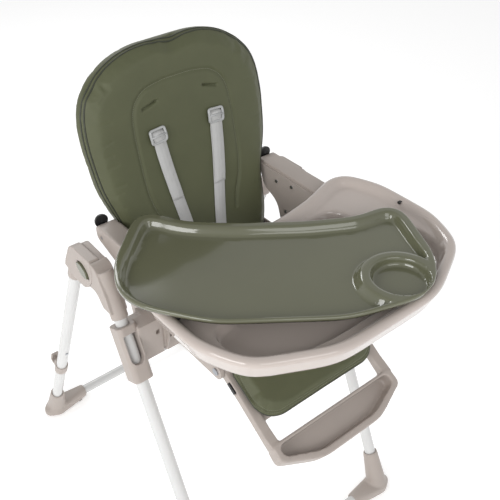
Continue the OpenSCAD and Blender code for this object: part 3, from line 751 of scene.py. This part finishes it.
def make_shoulder_straps(pad):
    """Webbing from each ladder lock down over the cushion towards the buckle, doubled for half its length."""
    for side, word in ((-1, "left"), (1, "right")):
        flat = bent([(side * 64, 333), (side * 63, 322), (side * 57, 262), (side * 48, 200),
                     (side * 40, 150), (side * 34, 108)], 48)
        heights = height_over(pad, BACK_FACE, flat)
        heights = np.convolve(np.pad(heights, 3, mode="edge"), np.ones(7) / 7, mode="valid")
        lift = 1.6 + 4.2 * np.exp(-((flat[:, 1] - 322) / 13) ** 2) - 4 * smoothstep(flat[:, 1], 327, 333)
        top = np.column_stack([flat, heights + lift])
        tail = bent([top[-1], (side * 29, 72, top[-1][2] + 9), (side * 22, 44, 33),
                     (side * 16, 24, 52)], 16)[1:]
        centres = np.vstack([top, tail])
        sides = np.tile([1.0, 0, 0], (len(centres), 1))
        lower = strip(word + "_shoulder_webbing", centres, sides, STRAP_W, STRAP_T, BACK_FACE)
        finish_piece(lower, "backrest", "strap", [word + "_shoulder_strap"])
        over = flat[(flat[:, 1] < 316) & (flat[:, 1] > 192)]
        over_top = np.column_stack([over + (side * 0.8, 0),
                                    np.interp(-over[:, 1], -flat[:, 1], heights) + 4.4
                                    - 1.0 * smoothstep(-over[:, 1], -215, -193)])
        sides = np.tile([1.0, 0.02 * side, 0], (len(over), 1))
        upper = strip(word + "_shoulder_webbing_return", over_top, sides, STRAP_W, STRAP_T, BACK_FACE)
        finish_piece(upper, "backrest", "strap")


def make_ladder_locks(pad):
    """Moulded frames with a middle bar, one on each shoulder strap."""
    parts = []
    for side in (-1, 1):
        centre = np.array([side * 63.5, 323])
        under = height_over(pad, BACK_FACE, [centre, centre + (0, 12), centre - (0, 12)])
        height = float(np.mean(under)) + 4.6
        lean = math.radians(-4 * side)
        edge = rounded(mirrored([(17, -14, 4), (17, 14, 4)]), 2)
        turn = np.array([[math.cos(lean), -math.sin(lean)], [math.sin(lean), math.cos(lean)]])
        ring = [np.append(turn @ p + centre, height + 1.4 * math.cos(p[1] / 9)) for p in inset(edge, 1.8)]
        parts.append(tube(ring, 2.5, 8, closed=True))
        ends = [np.append(turn @ np.array([x, 0]) + centre, height + 2.2) for x in (-15, 0, 15)]
        parts.append(tube(ends, 2.0, 8))
    locks = add_mesh("strap_locks", *joined(parts), BACK_FACE)
    finish_piece(locks, "backrest", "strap_hardware", ["strap_adjusters"])


def make_lap_straps():
    """Crotch and waist webbing on the seat, running to the buckle between them."""
    z = high("seat_pad")[2] + 2.5
    buckle_y = (low("harness_buckle")[1] + high("harness_buckle")[1]) / 2
    centres = bent([(0, -192, z - 6), (0, -180, z + 2.5), (0, -150, z + 3.5), (0, buckle_y - 10, z + 5)], 22)
    crotch = strip("crotch_webbing", centres, np.tile([1.0, 0, 0], (22, 1)), STRAP_W, STRAP_T)
    finish_piece(crotch, "seat_carriage", "strap", ["crotch_strap"])
    for side in (-1, 1):
        path = bent([(side * 18, buckle_y + 2, z + 6), (side * 60, buckle_y + 5, z + 5),
                     (side * 105, buckle_y + 8, z + 6), (side * 136, buckle_y + 12, z + 16),
                     (side * 144, buckle_y + 20, z + 42), (side * 143, buckle_y + 30, z + 66)], 40)
        twist = smoothstep(np.linspace(0, 1, 40), 0.42, 0.95) * math.radians(105)
        sides = np.column_stack([np.sin(twist) * 0.5 * side, np.cos(twist), np.sin(twist) * 0.75])
        name = "waist_webbing_" + ("left" if side < 0 else "right")
        waist = strip(name, path, sides, STRAP_W * 0.92, STRAP_T)
        finish_piece(waist, "seat_carriage", "strap", ["waist_straps"])


# ------------------------------------------------------------------ trays

TRAY_WALL = 2.4          # of the serving tray
TRAY_DRAFT = 15          # how far its skirt leans in, over its whole height
WING_DROP = 14           # depth of the wings' shallow floor
BOWL_FLOOR = 5           # height of the bowl's floor over the skirt's lower edge
PASSAGE_DROP = 17.2      # depth below the rim at which the armrests pass under the skirt


def make_base_tray(look):
    """Wide tray: bullnose rim, shallow wings, deep bowl, and a hollow skirt that clears the armrests."""
    bottom, rim = low("base_tray")[2], high("base_tray")[2]
    front, rear, half = low("base_tray")[1], high("base_tray")[1], high("base_tray")[0]
    edge = rounded(mirrored([(40, rear - 42, 60), (120, rear - 28, 60), (half - 62, rear, 26),
                             (half - 27, rear - 10, 30), (half, rear - 80, 70), (half, -350, 80),
                             (half - 34, front + 62, 76), (104, front - 2, 130)]), 5, 22)
    bowl = rounded(mirrored([(154, rear - 66, 24), (154, -322, 18), (half - 42, -334, 18),
                             (half - 44, -386, 40), (half - 74, front + 55, 50),
                             (90, front + 39, 90)]), 5, 16)
    rings = [inset(bowl, gap) for gap in (-4, -1.5, 1, 3.5, 6, 9)]
    flat, faces = surface(edge, (0.8, 2, 4, 7, 11, 16, 20, 24, 28), 9, rings)
    depth = depth_inside(flat, edge)
    depth[:len(edge)] = 0
    nose = look.rim_radius_mm
    top = rim - nose + np.sqrt(nose ** 2 - np.clip(nose - depth, 0, nose) ** 2)
    top -= WING_DROP * smoothstep(depth, 13, 27)
    sunk = smoothstep(depth_inside(flat, bowl), -3, 8)
    top += (bottom + BOWL_FLOOR - top) * sunk
    count = len(edge)
    points, made, size = [np.column_stack([flat, top])], [list(face) for face in faces], len(flat)
    passage = (smoothstep(np.abs(edge[:, 0]), 156, 161) * (1 - smoothstep(np.abs(edge[:, 0]), 210, 215))
               * smoothstep(edge[:, 1], rear - 70, rear - 60))
    skirt_low = bottom + (rim - PASSAGE_DROP - bottom) * passage
    inward = inset(edge, 1) - edge
    previous = list(range(count))
    for share in (0.12, 0.35, 0.65, 0.92, 1.0):
        level = (rim - nose) + (skirt_low - (rim - nose)) * share
        ring = edge + inward * ((rim - nose - level) * TRAY_DRAFT / (rim - bottom))[:, None]
        points.append(np.column_stack([ring, level]))
        current = list(range(size, size + count))
        made += [[previous[i], current[i], current[(i + 1) % count], previous[(i + 1) % count]]
                 for i in range(count)]
        previous, size = current, size + count
    thing = add_mesh("serving_tray", np.vstack(points), made)
    if sum(p.normal.z * p.area for p in thing.data.polygons) < 0:
        thing.data.flip_normals()
    modify(thing, "SOLIDIFY", thickness=TRAY_WALL * MM, offset=-1)
    apply_modifiers(thing)
    finish_piece(thing, "base_tray", "beige_tray", ["base_tray"])


TRAY_FLOOR = 2.8         # of the loose tray
CUP_AT = (-66, -57)      # of the cup's middle, from the middle of the loose tray's right end


def make_insert_tray():
    """Loose tray: rim that narrows to the front, flat floor, and a cup recess in a raised ring."""
    size_x, size_y, tall = 257, 146, high("insert_tray")[2] - low("insert_tray")[2]
    edge = rounded(mirrored([(60, size_y - 48, 80), (150, size_y - 38, 80), (size_x - 30, size_y + 8, 30),
                             (size_x, 0, 120), (size_x - 12, -size_y + 50, 90),
                             (100, -size_y - 3, 150)]), 4, 34)
    cup = np.array([size_x + CUP_AT[0], CUP_AT[1]])
    around = np.arange(0, 2 * math.pi, 0.07)
    circle = np.column_stack([np.cos(around), np.sin(around)])
    rings = [cup + circle * r for r in (38, 41, 43.5, 45, 46.5, 48, 51, 56, 61, 64, 67, 70, 73, 76)]
    flat, faces = surface(edge, (0.7, 1.8, 3.2, 5, 7.5, 10, 13, 16, 19, 22, 25), 7, rings)
    depth = depth_inside(flat, edge)
    depth[:len(edge)] = 0
    gap = np.linalg.norm(flat - cup, axis=1)
    width = 5 + 9 * smoothstep(flat[:, 1], -70, 50) + 2 * smoothstep(-flat[:, 0], 150, 240)
    nose = np.minimum(3.2, width * 0.6)
    wall = 1 - smoothstep(depth, width, width + 9)
    ring = 1 - smoothstep(gap, 61, 73)
    raised = 1 - (1 - wall) * (1 - ring)
    top = TRAY_FLOOR + (tall - TRAY_FLOOR) * raised
    top += (TRAY_FLOOR - top) * (1 - smoothstep(gap, 42, 48))
    top -= (nose - np.sqrt(nose ** 2 - np.clip(nose - depth, 0, nose) ** 2)) * (gap > 50)
    lower = np.where(depth < 10, np.maximum(top - 4 - depth * 0.2, 0), np.maximum(top - TRAY_FLOOR, 0))
    thing = add_mesh("loose_tray", *closed_body(flat, faces, len(edge), top, lower), INSERT_FACE)
    finish_piece(thing, "insert_tray", "green_plastic", ["insert_tray"])


# ------------------------------------------------------------------ moulded parts and the steel frame

FOOT_NODES = [side + "_" + end + "_foot" for side in ("left", "right") for end in ("front", "rear")]
HUB_NODES = [side + "_" + part for side in ("left", "right")
             for part in ("hub_sleeve", "hub_elbow", "fold_button")]
SEAT_NODES = [side + "_" + part for side in ("left", "right") for part in ("slider", "armrest")]
# Voxel size in mm and smoothing passes of each kind of moulding
SMOOTHED = {
    "foot": (2.0, 14), "hub": (1.2, 6), "button": (0.8, 3), "slider": (1.2, 2), "armrest": (2.0, 10),
    "legrest": (2.0, 8), "back": (3.0, 4), "housing": (1.6, 5), "buckle": (1.0, 5),
}


# Share of a fold button's own size that is left, so that it runs free in its rounded pocket
BUTTON_PLAY = (0.72, 0.9, 0.9)


def make_feet():
    for node in FOOT_NODES:
        moulded(node, *SMOOTHED["foot"])


def make_hubs():
    for node in HUB_NODES:
        if not node.endswith("button"):
            moulded(node, *SMOOTHED["hub"])
            continue
        button = moulded(node, *SMOOTHED["button"])
        outer = high(node)[0] if node.startswith("right") else low(node)[0]
        middle = (low(node) + high(node)) / 2
        shaped = local_points(button, WORLD)
        anchor = np.array([outer, middle[1], middle[2]])
        set_local_points(button, anchor + (shaped - anchor) * BUTTON_PLAY, WORLD)


def make_seat_mouldings():
    for node in SEAT_NODES:
        moulded(node, *SMOOTHED[node.split("_")[1]])
    moulded("legrest_frame", *SMOOTHED["legrest"])
    moulded("backrest_shell", *SMOOTHED["back"])
    moulded("recline_housing", *SMOOTHED["housing"])
    moulded("harness_buckle", *SMOOTHED["buckle"])


def dress_cad_parts(look):
    """Materials and softened edges for the CAD parts that stay in sight."""
    for name, node in frame["nodes"].items():
        node.data.materials.clear()
        node.data.materials.append(MATERIALS[SLOT_OF[name]])
        if SLOT_OF[name] in ("olive_cover", "strap"):
            continue
        width = look.edge_radius_mm * (0.4 if SLOT_OF[name] in ("steel", "white_tube") else 1)
        modify(node, "BEVEL", width=width * MM, segments=3, limit_method="ANGLE",
               angle_limit=math.radians(40))


# ------------------------------------------------------------------ stage

CAMERA_AT = (-0.713, -1.024, 1.542)
CAMERA_TURN = (53, 0, -39.5)
CAMERA_LENS = 56.2


def add_lamp(name, at, towards, size, power):
    lamp = bpy.data.lights.new(name, "AREA")
    lamp.shape = "RECTANGLE"
    lamp.size, lamp.size_y = size
    lamp.energy = power
    thing = bpy.data.objects.new(name, lamp)
    thing.location = at
    thing.rotation_euler = (Vector(towards) - Vector(at)).to_track_quat("-Z", "Y").to_euler()
    bpy.context.scene.collection.objects.link(thing)
    return thing


def set_stage(look):
    """Pale floor, soft room light, three soft lamps and the camera."""
    flat, faces = np.array([(-9, -9, 0), (9, -9, 0), (9, 9, 0), (-9, 9, 0)]) * 1000.0, [[0, 1, 2, 3]]
    floor = add_mesh("floor", flat, faces)
    paint = bpy.data.materials.new("matt_paper_white")
    # Matt white paper: no highlight, so that only the soft shadow shows.
    paint.use_nodes = True
    bsdf = paint.node_tree.nodes["Principled BSDF"]
    bsdf.inputs["Base Color"].default_value = linear("fbfbfb")
    bsdf.inputs["Roughness"].default_value = 0.9
    bsdf.inputs["Specular IOR Level"].default_value = 0.1
    bsdf.inputs["Emission Color"].default_value = linear("ffffff")
    bsdf.inputs["Emission Strength"].default_value = 0.3
    floor.data.materials.append(paint)
    world = bpy.data.worlds.new("pale_room")
    world.use_nodes = True
    sky = world.node_tree
    where = add_node(sky, "ShaderNodeTexCoord")
    axes = add_node(sky, "ShaderNodeSeparateXYZ", None, {"Vector": where.outputs["Generated"]})
    range_of_light = {"From Min": 0.1, "From Max": 0.9, "To Min": look.room_light,
                      "To Max": look.room_light * 0.45}
    shade = add_node(sky, "ShaderNodeMapRange", range_of_light, {"Value": axes.outputs["Z"]})
    sky.links.new(shade.outputs["Result"], sky.nodes["Background"].inputs["Strength"])
    sky.nodes["Background"].inputs["Color"].default_value = linear("ffffff")
    bpy.context.scene.world = world
    power = look.lamp_power
    lamps = [add_lamp("window_lamp", (-2.4, -0.9, 1.7), (0, -0.1, 0.7), (1.5, 1.0), power),
             add_lamp("front_lamp", (-0.6, -2.6, 2.2), (0, 0, 0.6), (1.8, 1.2), power * 0.55),
             add_lamp("rear_lamp", (0.5, 2.3, 2.5), (0, -0.2, 0.7), (1.3, 0.7), power * 0.6)]
    eye = bpy.data.cameras.new("camera")
    eye.lens = CAMERA_LENS
    eye.sensor_width = 36
    camera = bpy.data.objects.new("camera", eye)
    camera.location = CAMERA_AT
    camera.rotation_euler = [math.radians(angle) for angle in CAMERA_TURN]
    bpy.context.scene.collection.objects.link(camera)
    bpy.context.scene.camera = camera
    bpy.context.scene.view_settings.view_transform = "Standard"


# ------------------------------------------------------------------ settings, operators and panel

def colour_property(name, description, code):
    return FloatVectorProperty(name=name, description=description, subtype="COLOR", size=4, min=0, max=1,
                               default=linear(code))


class HighChairLook(PropertyGroup):
    cover_colour: colour_property("Cover", "Colour of the cushions' leatherette", "575a41")
    moulding_colour: colour_property("Mouldings", "Colour of the moulded feet, hubs and shells", "aca29b")
    tray_colour: colour_property("Serving tray", "Colour of the serving tray", "bdb2ab")
    loose_tray_colour: colour_property("Loose tray", "Colour of the loose tray", "666752")
    plump_mm: FloatProperty(name="Swelling", description="Furthest that the filling pushes, in mm",
                            default=10, min=5, max=16)
    plump_pressure: FloatProperty(name="Filling pressure", description="Pressure in the cushions",
                                  default=4, min=1, max=8)
    rim_radius_mm: FloatProperty(name="Rim radius", description="Radius of the serving tray's rim, in mm",
                                 default=8.5, min=3, max=9)
    edge_radius_mm: FloatProperty(name="Edge radius", description="Radius of plain moulded edges, in mm",
                                  default=0.9, min=0.2, max=1.5)
    room_light: FloatProperty(name="Room light", description="Strength of the light from all round",
                              default=0.95, min=0, max=2)
    lamp_power: FloatProperty(name="Lamp power", description="Power of the largest lamp",
                              default=30, min=0, max=300, unit="POWER")


class MixFinishes(Operator):
    """Mix the finishes of all pieces"""
    bl_idname = "high_chair.mix_finishes"
    bl_label = "Finishes"

    def execute(self, context):
        mix_finishes(context.scene.high_chair)
        return {"FINISHED"}


class MakeCushions(Operator):
    """Make the backrest, seat and calf cushions with their seams and piping"""
    bl_idname = "high_chair.make_cushions"
    bl_label = "Cushions"

    def execute(self, context):
        look = context.scene.high_chair
        make_backrest_pad(look)
        make_seat_cushion(look)
        make_calf_cushion(look)
        return {"FINISHED"}


class MakeHarness(Operator):
    """Make the webbing and its ladder locks, which lie on the backrest cushion"""
    bl_idname = "high_chair.make_harness"
    bl_label = "Harness"

    def execute(self, context):
        pad = bpy.data.objects["backrest_cushion"]
        make_shoulder_straps(pad)
        make_ladder_locks(pad)
        make_lap_straps()
        return {"FINISHED"}


class MakeTrays(Operator):
    """Make the serving tray and the loose tray"""
    bl_idname = "high_chair.make_trays"
    bl_label = "Trays"

    def execute(self, context):
        make_base_tray(context.scene.high_chair)
        make_insert_tray()
        return {"FINISHED"}


class MakeMouldings(Operator):
    """Make the moulded feet, hubs, sliders, armrests and shells"""
    bl_idname = "high_chair.make_mouldings"
    bl_label = "Mouldings"

    def execute(self, context):
        dress_cad_parts(context.scene.high_chair)
        make_feet()
        make_hubs()
        make_seat_mouldings()
        return {"FINISHED"}


class SetStage(Operator):
    """Set the floor, the lamps and the camera"""
    bl_idname = "high_chair.set_stage"
    bl_label = "Stage"

    def execute(self, context):
        set_stage(context.scene.high_chair)
        return {"FINISHED"}


OPERATORS = (MixFinishes, MakeMouldings, MakeCushions, MakeHarness, MakeTrays, SetStage)


class HighChairPanel(Panel):
    bl_idname = "VIEW3D_PT_high_chair"
    bl_label = "High Chair"
    bl_space_type = "VIEW_3D"
    bl_region_type = "UI"
    bl_category = "High Chair"

    def draw(self, context):
        look = context.scene.high_chair
        for name in HighChairLook.__annotations__:
            self.layout.prop(look, name)
        for operator in OPERATORS:
            self.layout.operator(operator.bl_idname)


CLASSES = (HighChairLook, *OPERATORS, HighChairPanel)


def register():
    for kind in CLASSES:
        bpy.utils.register_class(kind)
    bpy.types.Scene.high_chair = PointerProperty(type=HighChairLook)


def unregister():
    del bpy.types.Scene.high_chair
    for kind in reversed(CLASSES):
        bpy.utils.unregister_class(kind)


def main():
    register()
    bpy.ops.high_chair.mix_finishes()
    bpy.ops.high_chair.make_mouldings()
    bpy.ops.high_chair.make_cushions()
    bpy.ops.high_chair.make_harness()
    bpy.ops.high_chair.make_trays()
    bpy.ops.high_chair.set_stage()


if __name__ == "__main__":
    main()
